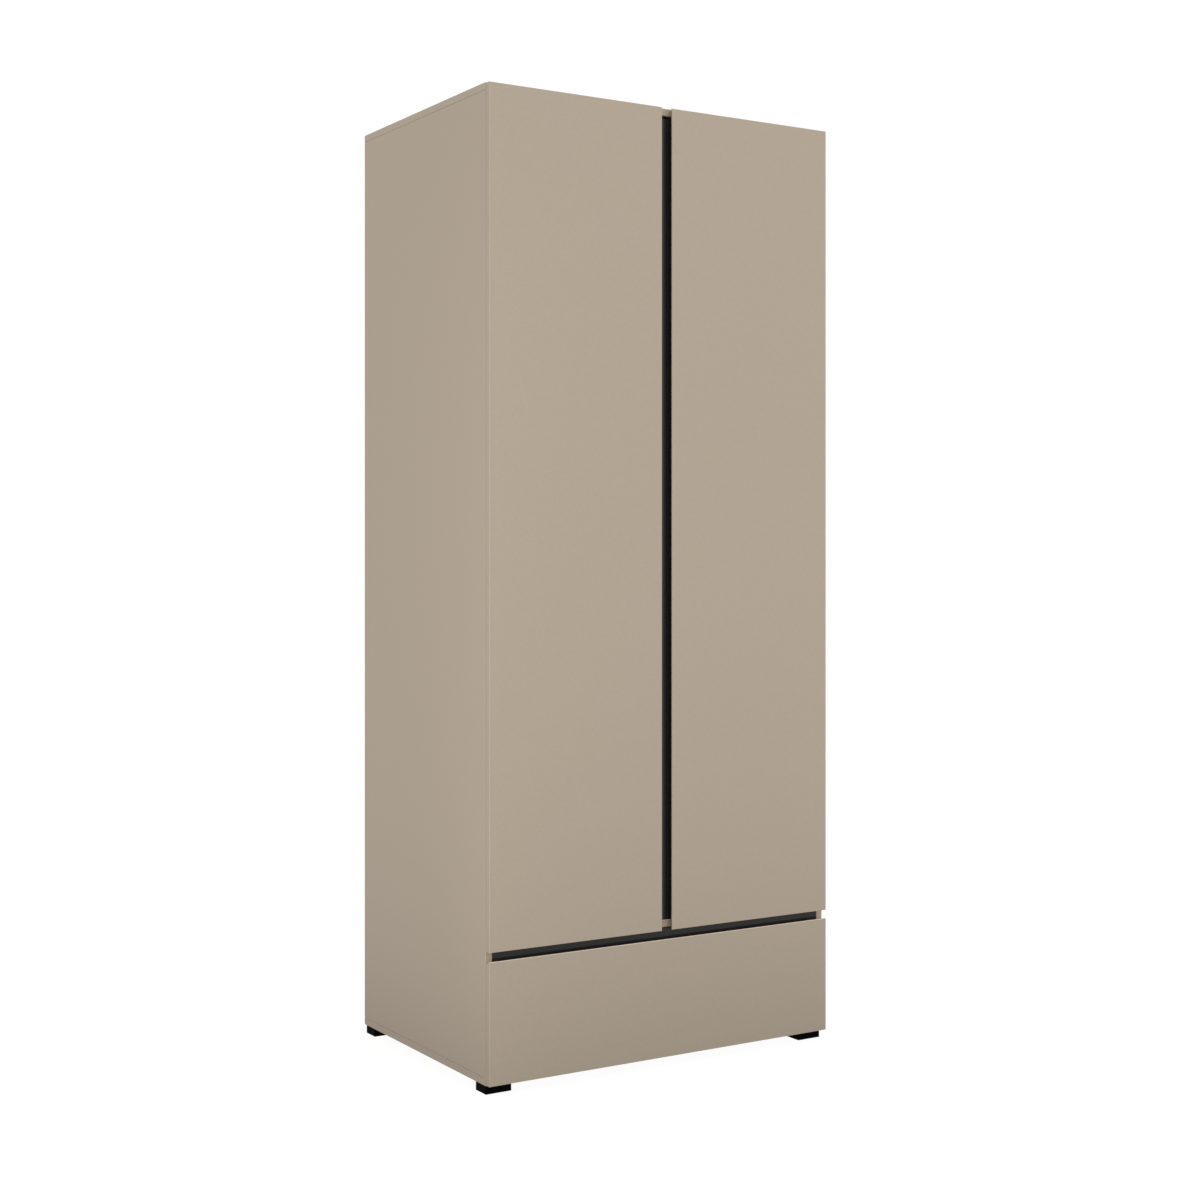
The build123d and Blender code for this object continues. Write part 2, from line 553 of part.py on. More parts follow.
# ---- Wall brackets: steel angles under the top panel, with a hole for a screw into the wall ----
with BuildPart() as wall_brackets:
    for side, hand in SIDES:
        bracket_x = (side * BRACKET_X - BRACKET_WIDTH / 2, side * BRACKET_X + BRACKET_WIDTH / 2)
        slab(bracket_x, (BRACKET_Y - BRACKET_SHEET, BRACKET_Y), (CEILING_Z - BRACKET_LEG, CEILING_Z))
        slab(bracket_x, (BRACKET_Y - BRACKET_LEG, BRACKET_Y), (CEILING_Z - BRACKET_SHEET, CEILING_Z))
    drill(WALL_SCREW_RADIUS, BRACKET_SHEET, -Y,
          [(side * BRACKET_X, BRACKET_Y - BRACKET_SHEET, WALL_SCREW_Z) for side, hand in SIDES])
    drill(PLATE_SCREW.radius + PLAY, BRACKET_SHEET, -Z, BRACKET_SCREW_POINTS)
save(wall_brackets, "wall_brackets")

# ---- Screws of the carcass ----
with BuildPart() as hinge_plate_screws:
    for side, hand in SIDES:
        drive_screws(PLATE_SCREW, side * X, plate_screw_points(side))
save(hinge_plate_screws, "hinge_plate_screws")

with BuildPart() as runner_rail_screws:
    for side, hand in SIDES:
        drive_screws(PLATE_SCREW, side * X, on_face(RUNNER_SCREW_POINTS, side * (INNER_X - RUNNER_SHEET)))
save(runner_rail_screws, "runner_rail_screws")

with BuildPart() as bracket_screws:
    drive_screws(PLATE_SCREW, Z, BRACKET_SCREW_POINTS)
    drive_screws(PLATE_SCREW, -X, on_face(HOLDER_SCREW_POINTS, PARTITION_X + HOLDER_PLATE))
    drive_screws(PLATE_SCREW, X, on_face(HOLDER_SCREW_POINTS, INNER_X - HOLDER_PLATE))
save(bracket_screws, "bracket_screws")

# ---- Doors ----
CUP_RADIUS = 17.4
CUP_DEPTH = 11.2
CUP_WALL = 1
CUP_INSET = 22.5  # from the edge of the door to the middle of a cup
CUP_FLANGE = 1
CUP_FLANGE_SIZE = (22, 58)
CUP_FLANGE_CORNER = 4
CUP_FLANGE_SHIFT = 5  # the flange reaches further towards the middle of the door
CUP_PIN_RADIUS = 1.5
CUP_PIN_LENGTH = 25  # both ends sit in the wall of the cup
CUP_PIN_DEPTH = 6.5
CUP_PIN_OFFSET = 10.5  # from the middle of the cup towards the edge of the door
CUP_LINK = (5, 3, 1.6)  # reach, width and thickness of a link folded in the cup
CUP_LINK_RISES = (-6, 6)
CUP_SCREW_SHIFT = 9.5
CUP_SCREW_RISE = 22.5
CUP_SCREW = Screw(1.75, 11, 3.4, 1.4)
BUMPER_RADIUS = 4
BUMPER_HEIGHT = 0.4
DOOR_BUMPER_X = 60
DOOR_OUTER = OUTER_X - FRONT_SIDE_INSET
DOOR_INNER = DOOR_SPACING / 2

for side, hand in SIDES:
    cup_x = side * (DOOR_OUTER - CUP_INSET)
    cup_rims = [Plane((cup_x, REAR_OF_FRONTS_Y, z), x_dir=-side * X, z_dir=Y) for z in HINGE_ZS]
    cup_screws_x = cup_x - side * CUP_SCREW_SHIFT
    cup_screw_rises = (-CUP_SCREW_RISE, CUP_SCREW_RISE)
    cup_screw_spots = [(cup_screws_x, z + rise) for z in HINGE_ZS for rise in cup_screw_rises]

    with BuildPart() as door_panel:
        with BuildSketch(Plane.XY.offset(DOOR_Z)):
            with BuildLine():
                Polyline(
                    (side * DOOR_OUTER, FRONT_Y),
                    (side * DOOR_INNER, FRONT_Y),
                    (side * DOOR_INNER, FRONT_Y + FINGER_LAND),
                    (side * (DOOR_INNER + DOOR_UNDERCUT), REAR_OF_FRONTS_Y),
                    (side * DOOR_OUTER, REAR_OF_FRONTS_Y),
                    close=True,
                )
            make_face()
        extrude(amount=DOOR_HEIGHT)
        fillet(door_panel.faces().sort_by(Axis.Y)[0].edges(), FRONT_ROUND)
        fillet(door_panel.faces().sort_by(Axis.Y)[-1].edges(), FRONT_ROUND)
        drill(CUP_RADIUS + PLAY, CUP_DEPTH + PLAY, Y, [rim.origin for rim in cup_rims])
        pilot_holes(CUP_SCREW, Y, [(x, REAR_OF_FRONTS_Y, z) for x, z in cup_screw_spots], CUP_FLANGE)
    save(door_panel, f"{hand}_door_panel")

    with BuildPart() as hinge_cups:
        with BuildSketch(*cup_rims):
            Circle(CUP_RADIUS)
        extrude(amount=-CUP_DEPTH)
        with BuildSketch(*cup_rims):
            with Locations((CUP_FLANGE_SHIFT, 0)):
                RectangleRounded(*CUP_FLANGE_SIZE, CUP_FLANGE_CORNER)
        extrude(amount=CUP_FLANGE)
        with BuildSketch(*[rim.offset(CUP_FLANGE) for rim in cup_rims]):
            Circle(CUP_RADIUS - CUP_WALL)
        extrude(amount=-(CUP_FLANGE + CUP_DEPTH - CUP_WALL), mode=Mode.SUBTRACT)
        flange_y = REAR_OF_FRONTS_Y + CUP_FLANGE
        drill(CUP_SCREW.radius + PLAY, CUP_FLANGE, Y, [(x, flange_y, z) for x, z in cup_screw_spots])
        pin_x = cup_x + side * CUP_PIN_OFFSET
        pin_y = REAR_OF_FRONTS_Y - CUP_PIN_DEPTH
        rods(CUP_PIN_RADIUS, CUP_PIN_LENGTH, Z, [(pin_x, pin_y, z - CUP_PIN_LENGTH / 2) for z in HINGE_ZS])
        reach, width, thickness = CUP_LINK
        for z in HINGE_ZS:
            for rise in CUP_LINK_RISES:
                link_base = Plane((pin_x, pin_y, z + rise - thickness / 2), x_dir=-side * X, z_dir=Z)
                with BuildSketch(link_base):
                    SlotCenterPoint((reach / 2, 0), (reach, 0), width)
                extrude(amount=thickness)
    save(hinge_cups, f"{hand}_hinge_cups")

    with BuildPart() as cup_screws:
        drive_screws(CUP_SCREW, -Y, [(x, flange_y, z) for x, z in cup_screw_spots])
    save(cup_screws, f"{hand}_cup_screws")

    with BuildPart() as door_bumpers:
        rods(BUMPER_RADIUS, BUMPER_HEIGHT, Y,
             [(side * DOOR_BUMPER_X, REAR_OF_FRONTS_Y, z) for z in (MIDDECK_Z, HEIGHT - BOARD / 2)])
    save(door_bumpers, f"{hand}_door_bumpers")

# ---- Drawer ----
BOX_X = INNER_X - RUNNER_WIDTH
BOX_INNER_X = BOX_X - BOARD
BOX_LENGTH = 510
BOX_SPAN_Y = (REAR_OF_FRONTS_Y, REAR_OF_FRONTS_Y + BOX_LENGTH)
BOX_SPAN_Z = (50, 235)
BOTTOM_LIFT = 12  # from the underside of the box to the groove of its bottom
BOTTOM_Z = BOX_SPAN_Z[0] + BOTTOM_LIFT
BOTTOM_PLAY = 0.5
BOX_SCREW_ZS = (78, 205)
INNER_FRONT_SPAN_Y = (BOX_SPAN_Y[0], BOX_SPAN_Y[0] + BOARD)
BOX_BACK_SPAN_Y = (BOX_SPAN_Y[1] - BOARD, BOX_SPAN_Y[1])
BOTTOM_SPAN_Y = (INNER_FRONT_SPAN_Y[1] - GROOVE_DEPTH, BOX_BACK_SPAN_Y[0] + GROOVE_DEPTH)
BOTTOM_X = BOX_INNER_X + GROOVE_DEPTH
BOX_SCREW_YS = (BOX_SPAN_Y[0] + BOARD / 2, BOX_SPAN_Y[1] - BOARD / 2)
FRONT_SCREW_SPOTS = [(x, z) for x in (-320, -110, 110, 320) for z in (95, 195)]
DRAWER_BUMPER_Z = FLOOR_Z + 180
DRAWER_TOP_Z = DRAWER_FRONT_Z + DRAWER_FRONT_HEIGHT


def bottom_groove():
    """Cuts the groove that holds the bottom of the drawer."""
    slab((-BOTTOM_X, BOTTOM_X), BOTTOM_SPAN_Y, (BOTTOM_Z, BOTTOM_Z + GROOVE_WIDTH), Mode.SUBTRACT)


with BuildPart() as drawer_front:
    with BuildSketch(Plane.YZ.offset(-DOOR_OUTER)):
        with BuildLine():
            Polyline(
                (FRONT_Y, DRAWER_FRONT_Z),
                (FRONT_Y, DRAWER_TOP_Z),
                (FRONT_Y + FINGER_LAND, DRAWER_TOP_Z),
                (REAR_OF_FRONTS_Y, DRAWER_TOP_Z - DRAWER_UNDERCUT),
                (REAR_OF_FRONTS_Y, DRAWER_FRONT_Z),
                close=True,
            )
        make_face()
    extrude(amount=2 * DOOR_OUTER)
    fillet(drawer_front.faces().sort_by(Axis.Y)[0].edges(), FRONT_ROUND)
    fillet(drawer_front.faces().sort_by(Axis.Y)[-1].edges(), FRONT_ROUND)
    pilot_holes(FRONT_SCREW, Y, [(x, REAR_OF_FRONTS_Y, z) for x, z in FRONT_SCREW_SPOTS], BOARD)
save(drawer_front, "drawer_front")

for side, hand in SIDES:
    with BuildPart() as drawer_side:
        slab(span(side, BOX_INNER_X, BOX_X), BOX_SPAN_Y, BOX_SPAN_Z)
        chamfer(drawer_side.edges(), EDGE_TRIM)
        bottom_groove()
        outside = [(side * BOX_X, y, z) for y in BOX_SCREW_YS for z in BOX_SCREW_ZS]
        drill(BOX_SCREW.radius + PLAY, BOARD, side * X, outside)
        drill(BOX_SCREW.head_radius + PLAY, BOX_SCREW.head_height + PLAY, side * X, outside)
        pilot_holes(PLATE_SCREW, side * X, on_face(RUNNER_SCREW_POINTS, side * BOX_X), RUNNER_SHEET)
    save(drawer_side, f"drawer_side_{hand}")

for name, span_y in (("drawer_inner_front", INNER_FRONT_SPAN_Y), ("drawer_back", BOX_BACK_SPAN_Y)):
    with BuildPart() as cross_board:
        slab((-BOX_INNER_X, BOX_INNER_X), span_y, BOX_SPAN_Z)
        chamfer(cross_board.edges(), EDGE_TRIM)
        bottom_groove()
        for side, hand in SIDES:
            ends = [(side * BOX_INNER_X, sum(span_y) / 2, z) for z in BOX_SCREW_ZS]
            pilot_holes(BOX_SCREW, side * X, ends, BOARD - BOX_SCREW.head_height)
        if name == "drawer_inner_front":
            drill(FRONT_SCREW.radius + PLAY, BOARD, Y, [(x, span_y[1], z) for x, z in FRONT_SCREW_SPOTS])
    save(cross_board, name)

with BuildPart() as drawer_bottom:
    slab((-BOTTOM_X + BOTTOM_PLAY, BOTTOM_X - BOTTOM_PLAY),
         (BOTTOM_SPAN_Y[0] + BOTTOM_PLAY, BOTTOM_SPAN_Y[1] - BOTTOM_PLAY),
         (BOTTOM_Z + PLAY, BOTTOM_Z + PLAY + BACK_THICKNESS))
save(drawer_bottom, "drawer_bottom")

with BuildPart() as drawer_box_screws:
    for side, hand in SIDES:
        seat_x = side * (BOX_X - BOX_SCREW.head_height)
        drive_screws(BOX_SCREW, -side * X, [(seat_x, y, z) for y in BOX_SCREW_YS for z in BOX_SCREW_ZS])
save(drawer_box_screws, "drawer_box_screws")

with BuildPart() as drawer_front_screws:
    drive_screws(FRONT_SCREW, -Y, [(x, INNER_FRONT_SPAN_Y[1], z) for x, z in FRONT_SCREW_SPOTS])
save(drawer_front_screws, "drawer_front_screws")

with BuildPart() as drawer_runner_screws:
    for side, hand in SIDES:
        seat_x = side * (BOX_X + RUNNER_SHEET)
        drive_screws(PLATE_SCREW, -side * X, on_face(RUNNER_SCREW_POINTS, seat_x))
save(drawer_runner_screws, "drawer_runner_screws")

with BuildPart() as drawer_bumpers:
    rods(BUMPER_RADIUS, BUMPER_HEIGHT, Y,
         [(side * (INNER_X + BOARD / 2), REAR_OF_FRONTS_Y, DRAWER_BUMPER_Z) for side, hand in SIDES])
save(drawer_bumpers, "drawer_bumpers")
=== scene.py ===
import json
import math
from collections import namedtuple

import bmesh
import bpy
from mathutils import Matrix, Vector


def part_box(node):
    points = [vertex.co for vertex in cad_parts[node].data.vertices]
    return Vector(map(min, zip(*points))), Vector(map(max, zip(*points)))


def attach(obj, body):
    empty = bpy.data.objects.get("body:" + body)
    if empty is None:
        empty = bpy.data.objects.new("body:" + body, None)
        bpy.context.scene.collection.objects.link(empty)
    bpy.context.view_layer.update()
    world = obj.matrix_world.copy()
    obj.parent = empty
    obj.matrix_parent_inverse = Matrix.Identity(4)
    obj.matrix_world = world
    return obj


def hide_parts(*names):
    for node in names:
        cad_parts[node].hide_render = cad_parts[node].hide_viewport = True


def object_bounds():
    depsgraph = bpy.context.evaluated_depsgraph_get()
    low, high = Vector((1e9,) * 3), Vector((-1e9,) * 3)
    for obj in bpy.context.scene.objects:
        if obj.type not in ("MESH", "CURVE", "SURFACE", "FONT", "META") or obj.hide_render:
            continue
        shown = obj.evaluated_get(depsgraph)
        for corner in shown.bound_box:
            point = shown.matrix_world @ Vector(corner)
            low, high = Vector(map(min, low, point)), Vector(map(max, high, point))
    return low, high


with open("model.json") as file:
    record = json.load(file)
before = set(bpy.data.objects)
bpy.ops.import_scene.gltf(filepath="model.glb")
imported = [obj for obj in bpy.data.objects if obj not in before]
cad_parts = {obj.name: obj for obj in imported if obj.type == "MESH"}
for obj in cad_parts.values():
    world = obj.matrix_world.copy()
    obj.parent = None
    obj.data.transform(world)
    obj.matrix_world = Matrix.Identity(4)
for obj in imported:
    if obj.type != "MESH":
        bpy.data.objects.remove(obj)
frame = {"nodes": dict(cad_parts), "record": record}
CAD_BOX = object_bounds()

# ---- Levels and planes, from the frame ----
LOW, HIGH = CAD_BOX
CARCASS_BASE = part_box("bottom_panel")[0].z
CARCASS_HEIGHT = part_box("top_panel")[1].z - CARCASS_BASE
FRONT_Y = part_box("drawer_front")[0].y


# ---- Materials: small functions make the nodes, and surface() puts them together ----
NOISE_LOW, NOISE_HIGH = 0.3, 0.7  # most of a noise texture lies between these
BROAD_SHARE = 40  # the roughness varies over patches this many times as large as the grain


def new_material(name):
    material = bpy.data.materials.new(name)
    material.use_nodes = True
    return material, material.node_tree.nodes, material.node_tree.links


def set_inputs(node, values):
    for socket, value in values.items():
        node.inputs[socket].default_value = value


def node_for(nodes, kind, operation):
    """A math node, or a vector math node, that is set to one operation."""
    node = nodes.new(kind)
    node.operation = operation
    return node


def noise(nodes, links, scale, detail=2.0, stretch=(1, 1, 1)):
    """Noise over the object's own metres. Returns the output that runs from 0 to 1."""
    place = nodes.new("ShaderNodeTexCoord")
    mapping = nodes.new("ShaderNodeMapping")
    mapping.inputs["Scale"].default_value = stretch
    texture = nodes.new("ShaderNodeTexNoise")
    set_inputs(texture, {"Scale": scale, "Detail": detail})
    links.new(place.outputs["Object"], mapping.inputs["Vector"])
    links.new(mapping.outputs["Vector"], texture.inputs["Vector"])
    return texture.outputs["Fac"]


def colour_range(nodes, links, factor, dark, light):
    ramp = nodes.new("ShaderNodeValToRGB")
    ramp.color_ramp.elements[0].position = NOISE_LOW
    ramp.color_ramp.elements[1].position = NOISE_HIGH
    ramp.color_ramp.elements[0].color = (*dark, 1)
    ramp.color_ramp.elements[1].color = (*light, 1)
    links.new(factor, ramp.inputs["Fac"])
    return ramp.outputs["Color"]


def number_range(nodes, links, factor, low, high):
    spread = nodes.new("ShaderNodeMapRange")
    set_inputs(spread, {"From Min": NOISE_LOW, "From Max": NOISE_HIGH, "To Min": low, "To Max": high})
    links.new(factor, spread.inputs["Value"])
    return spread.outputs["Result"]


def bump(nodes, links, height, strength, distance):
    relief = nodes.new("ShaderNodeBump")
    set_inputs(relief, {"Strength": strength, "Distance": distance})
    links.new(height, relief.inputs["Height"])
    return relief.outputs["Normal"]


def painted_edge_highlight(nodes, links, colour, edge_gain, top_gain):
    """Lightens a colour along the rounded edges of whatever faces the front or the back.

    Upright and lower edges get edge_gain times the colour, and edges that look upwards top_gain times. This
    is a painted highlight: the light that rounded edges would catch is painted into the base colour.
    """
    # Painted highlight: the base colour itself is made lighter on the rounded edges, most on edges that look
    # upwards.
    place = nodes.new("ShaderNodeTexCoord")
    parts = nodes.new("ShaderNodeSeparateXYZ")
    facing = node_for(nodes, "ShaderNodeMath", "ABSOLUTE")
    off_face = nodes.new("ShaderNodeMapRange")
    set_inputs(off_face, {"From Min": 1.0, "From Max": 0.9, "To Min": 0.0, "To Max": 1.0})
    off_side = nodes.new("ShaderNodeMapRange")
    set_inputs(off_side, {"From Min": 0.0, "From Max": 0.2, "To Min": 0.0, "To Max": 1.0})
    share = node_for(nodes, "ShaderNodeMath", "MULTIPLY")
    # Edges that look upwards get the stronger painted highlight.
    extra = nodes.new("ShaderNodeMapRange")
    set_inputs(extra, {"From Min": 0.0, "From Max": 0.4, "To Min": edge_gain - 1, "To Max": top_gain - 1})
    gain = node_for(nodes, "ShaderNodeMath", "MULTIPLY_ADD")
    gain.inputs[2].default_value = 1.0
    lighten = node_for(nodes, "ShaderNodeVectorMath", "SCALE")
    links.new(place.outputs["Normal"], parts.inputs["Vector"])
    links.new(parts.outputs["Y"], facing.inputs[0])
    links.new(facing.outputs["Value"], off_face.inputs["Value"])
    links.new(facing.outputs["Value"], off_side.inputs["Value"])
    links.new(off_face.outputs["Result"], share.inputs[0])
    links.new(off_side.outputs["Result"], share.inputs[1])
    links.new(parts.outputs["Z"], extra.inputs["Value"])
    links.new(share.outputs["Value"], gain.inputs[0])
    links.new(extra.outputs["Result"], gain.inputs[1])
    links.new(colour, lighten.inputs[0])
    links.new(gain.outputs["Value"], lighten.inputs["Scale"])
    return lighten.outputs["Vector"]


def surface(name, colour, contrast, grain, roughness, relief, stretch=(1, 1, 1), edge_highlight_gains=None,
            **shader):
    """A material whose colour, roughness and height all vary with noise.

    contrast is the share by which the colour varies, grain the noise scale per metre, roughness the
    (low, high) range, relief the height of the bumps in metres, and stretch the noise scale along each
    axis. edge gains, where given, are the gains of the painted highlights on the rounded edges. shader holds
    more shader inputs.
    """
    material, nodes, links = new_material(name)
    principled = nodes["Principled BSDF"]
    fine = noise(nodes, links, grain, 3.0, stretch)
    broad = noise(nodes, links, grain / BROAD_SHARE, 2.0, stretch)
    dark = [c * (1 - contrast) for c in colour]
    light = [c * (1 + contrast) for c in colour]
    tint = colour_range(nodes, links, fine, dark, light)
    # Where edge gains are given, painted highlights are put on the rounded edges.
    if edge_highlight_gains:
        tint = painted_edge_highlight(nodes, links, tint, *edge_highlight_gains)
    links.new(tint, principled.inputs["Base Color"])
    links.new(number_range(nodes, links, broad, *roughness), principled.inputs["Roughness"])
    links.new(bump(nodes, links, fine, 0.5, relief), principled.inputs["Normal"])
    set_inputs(principled, shader)
    return material


TAUPE = (0.413, 0.345, 0.270)

MATERIALS = {
    # The rounded edges of the taupe laminate carry painted highlights, stronger on edges that look upwards.
    "taupe_laminate": surface("taupe_laminate", TAUPE, 0.028, 300, (0.565, 0.585), 0.00004,
                              edge_highlight_gains=(1.3, 2.2)),
    "black_laminate": surface("black_laminate", (0.015, 0.015, 0.0158), 0.1, 900, (0.1, 0.15), 0.000004,
                              **{"Specular IOR Level": 0.28}),
    "hardboard": surface("hardboard", (0.42, 0.36, 0.29), 0.06, 500, (0.6, 0.75), 0.0001),
    "white_plastic": surface("white_plastic", (0.40, 0.345, 0.28), 0.02, 700, (0.4, 0.5), 0.00003),
    "black_plastic": surface("black_plastic", (0.0008, 0.0008, 0.0008), 0.15, 1200, (0.6, 0.7), 0.00008,
                             **{"Specular IOR Level": 0.04}),
    "chrome_tube": surface("chrome_tube", (0.78, 0.78, 0.79), 0.01, 300, (0.06, 0.12), 0.00001, Metallic=1.0),
    "holder_metal": surface("holder_metal", (0.66, 0.66, 0.67), 0.03, 700, (0.18, 0.28), 0.00003,
                            Metallic=1.0),
    "clear_bumper": surface("clear_bumper", (0.8, 0.8, 0.79), 0.02, 400, (0.2, 0.3), 0.00002),
    "beech": surface("beech", (0.60, 0.42, 0.24), 0.12, 900, (0.5, 0.65), 0.0001, (1, 1, 0.08)),
    "zinc_casting": surface("zinc_casting", (0.5, 0.5, 0.51), 0.08, 900, (0.35, 0.5), 0.00008, Metallic=1.0),
    "plated_steel": surface("plated_steel", (0.58, 0.57, 0.56), 0.03, 900, (0.2, 0.3), 0.00003, Metallic=1.0),
    "runner_steel": surface("runner_steel", (0.52, 0.53, 0.55), 0.05, 700, (0.28, 0.4), 0.00004, (1, 0.05, 1),
                            Metallic=1.0),
    "screw_steel": surface("screw_steel", (0.6, 0.6, 0.62), 0.05, 900, (0.22, 0.34), 0.00004, Metallic=1.0),
}

for part in frame["record"]["subparts"]:
    shown = frame["nodes"][part["node"]]
    shown.data.materials.clear()
    shown.data.materials.append(MATERIALS[part["material_slot"]])

# ---- Mesh tools for the small metal pieces ----
Spot = namedtuple("Spot", "place radius head shank length")  # where a screw sits, and its sizes
TURNS = 24  # points round a turned piece
WELD = 1e-6  # points this close are one
LEVEL = 1e-5  # points whose heights differ by less lie in one plane
SHARP_ANGLE = math.radians(35)
DEEPEST_CROSS = 0.0016
HANDS = (("left", 1), ("right", -1))  # the sign points towards the middle of the wardrobe


def solids(node):
    """The separate solids of a CAD node, each as a list of points."""
    mesh = bmesh.new()
    mesh.from_mesh(frame["nodes"][node].data)
    bmesh.ops.remove_doubles(mesh, verts=mesh.verts, dist=WELD)
    found, seen = [], set()
    for start in mesh.verts:
        if start in seen:
            continue
        seen.add(start)
        group = [start]
        for vertex in group:
            others = [edge.other_vert(vertex) for edge in vertex.link_edges]
            fresh = [other for other in others if other not in seen]
            seen.update(fresh)
            group += fresh
        found.append([vertex.co.copy() for vertex in group])
    mesh.free()
    return found


def extent(points):
    """Lowest and highest corner of the box around some points."""
    return [Vector(end(point[axis] for point in points) for axis in range(3)) for end in (min, max)]


def pointing(origin, direction):
    """A place at origin whose Z axis runs along direction."""
    return Matrix.Translation(origin) @ Vector(direction).to_track_quat("Z", "Y").to_matrix().to_4x4()


def screw_spot(points):
    """Where a screw sits. Its place is the middle of the top of its head, and faces outwards."""
    low, high = extent(points)
    size, middle = high - low, (low + high) / 2
    long_axis = max(range(3), key=lambda i: min(abs(size[i] - size[j]) for j in range(3) if j != i))

    def radius_at(end):
        spokes = [point - middle for point in points if abs(point[long_axis] - end) < LEVEL]
        return max(spoke.length ** 2 - spoke[long_axis] ** 2 for spoke in spokes) ** 0.5

    tip, top = sorted((low[long_axis], high[long_axis]), key=radius_at)
    steps = [abs(point[long_axis] - top) for point in points]
    outward = Vector((0, 0, 0))
    outward[long_axis] = math.copysign(1, top - tip)
    origin = middle.copy()
    origin[long_axis] = top
    head = min(step for step in steps if step > LEVEL)
    return Spot(pointing(origin, outward), radius_at(top), head, radius_at(tip), size[long_axis])


def pairs_round(loop):
    """Each item of a loop with the next one, and the last with the first."""
    return zip(loop, loop[1:] + loop[:1])


def join_loops(mesh, lower, upper):
    """Faces between two loops of as many points."""
    for (a, b), (c, d) in zip(pairs_round(lower), pairs_round(upper)):
        mesh.faces.new((a, b, d, c))


def turned(mesh, place, profile, count=TURNS):
    """Rings of points around the place's Z axis, one for each (radius, height), joined by faces."""
    turns = [2 * math.pi * step / count for step in range(count)]
    rings = [
        [mesh.verts.new(place @ Vector((radius * math.cos(t), radius * math.sin(t), height))) for t in turns]
        for radius, height in profile
    ]
    for lower, upper in zip(rings, rings[1:]):
        join_loops(mesh, lower, upper)
    return rings


def cross_recess(mesh, place, rim, height, arm, half_width, depth, taper=0.6):
    """Closes a rim with a face that has a cross sunk in it, taper times as large at its bottom."""
    spots = ((arm, -half_width, 0), (arm, half_width, 0), (half_width, half_width, 0))
    quarter = [Vector(spot) for spot in spots]
    turns = [Matrix.Rotation(step * math.pi / 2, 4, "Z") for step in range(4)]
    outline = [turn @ spot for turn in turns for spot in quarter]
    upper = [mesh.verts.new(place @ (spot + Vector((0, 0, height)))) for spot in outline]
    lower = [mesh.verts.new(place @ (spot * taper + Vector((0, 0, height - depth)))) for spot in outline]
    join_loops(mesh, upper, lower)
    mesh.faces.new(lower)
    edges = [mesh.edges.get(pair) for loop in (rim, upper) for pair in pairs_round(loop)]
    bmesh.ops.triangle_fill(mesh, use_beauty=True, edges=edges)


def finish_piece(mesh, name, body, slot, stands_for=()):
    """Makes an object of a mesh, with its finish, its body and the CAD nodes that it stands for."""
    bmesh.ops.recalc_face_normals(mesh, faces=mesh.faces)
    data = bpy.data.meshes.new(name)
    mesh.to_mesh(data)
    mesh.free()
    piece = bpy.data.objects.new(name, data)
    bpy.context.scene.collection.objects.link(piece)
    data.materials.append(MATERIALS[slot])
    data.shade_smooth()
    data.set_sharp_from_angle(angle=SHARP_ANGLE)
    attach(piece, body)
    if stands_for:
        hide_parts(*stands_for)


def add_screw(mesh, spot):
    """A screw with a rounded cross-recess head and a blunt point."""
    r, h, s, l = spot.radius, spot.head, spot.shank, spot.length
    profile = [(0.72 * r, 0), (0.9 * r, -0.12 * h), (r, -0.4 * h), (r, -0.9 * h), (0.9 * r, -h), (s, -h),
               (s, -l + 1.5 * s), (0.3 * s, -l)]
    rings = turned(mesh, spot.place, profile)
    mesh.faces.new(rings[-1])
    cross_recess(mesh, spot.place, rings[0], 0, 0.55 * r, 0.13 * r, min(0.8 * h, DEEPEST_CROSS))


# ---- Screws with cross recesses, in the places of the plain CAD ones ----
for body, nodes in frame["record"]["behaviour"]["bodies"].items():
    for node in nodes:
        if node.endswith("_screws"):
            screws = bmesh.new()
            for points in solids(node):
                add_screw(screws, screw_spot(points))
            finish_piece(screws, node + ".detail", body, "screw_steel", [node])

# ---- Cam locks: cast discs with a cross recess and a pressed rim ----
PARTITION_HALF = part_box("centre_partition")[1].x
CAM_STEP = 0.0004  # how far a cam's middle lies below its rim
CAM_CROSS = 0.003
cams = bmesh.new()
for points in solids("cam_locks"):
    low, high = extent(points)
    size, middle = high - low, (low + high) / 2
    radius, origin = max(size) / 2, middle.copy()
    # Cams in lying boards open downwards, and the others towards the bay that they are reached from.
    if size.z < size.x:
        origin.z, mouth = low.z, (0, 0, -1)
    elif middle.x > PARTITION_HALF:
        origin.x, mouth = low.x, (-1, 0, 0)
    else:
        origin.x, mouth = high.x, (1, 0, 0)
    place = pointing(origin, mouth)
    rings = turned(cams, place, [(0.66 * radius, -CAM_STEP), (0.7 * radius, 0), (0.95 * radius, 0),
                                 (radius, -CAM_STEP), (radius, -min(size))])
    cams.faces.new(rings[-1])
    cross_recess(cams, place, rings[0], -CAM_STEP, 0.5 * radius, 0.1 * radius, CAM_CROSS)
finish_piece(cams, "cam_locks.detail", "carcass", "zinc_casting", ["cam_locks"])

# ---- Shelf pins: rounded ends and a groove where they leave the board ----
PIN_REACH = 0.007  # how far a pin stands out of its board
PIN_TURNS = 20
pins = bmesh.new()
for points in solids("shelf_pins"):
    low, high = extent(points)
    middle, length, radius = (low + high) / 2, high.x - low.x, (high.z - low.z) / 2
    bay_x = math.copysign(HIGH.x / 2, middle.x)
    towards_bay = math.copysign(1, bay_x - middle.x)
    origin = Vector((high.x if towards_bay > 0 else low.x, middle.y, middle.z))
    profile = [(0.7 * radius, 0), (0.97 * radius, -0.0006), (0.97 * radius, 0.0012 - PIN_REACH),
               (0.84 * radius, 0.0009 - PIN_REACH), (0.84 * radius, 0.0002 - PIN_REACH),
               (radius, -PIN_REACH), (radius, 0.0004 - length), (0.8 * radius, -length)]
    rings = turned(pins, pointing(origin, (towards_bay, 0, 0)), profile, PIN_TURNS)
    pins.faces.new(rings[0])
    pins.faces.new(rings[-1])
finish_piece(pins, "shelf_pins.detail", "carcass", "screw_steel", ["shelf_pins"])

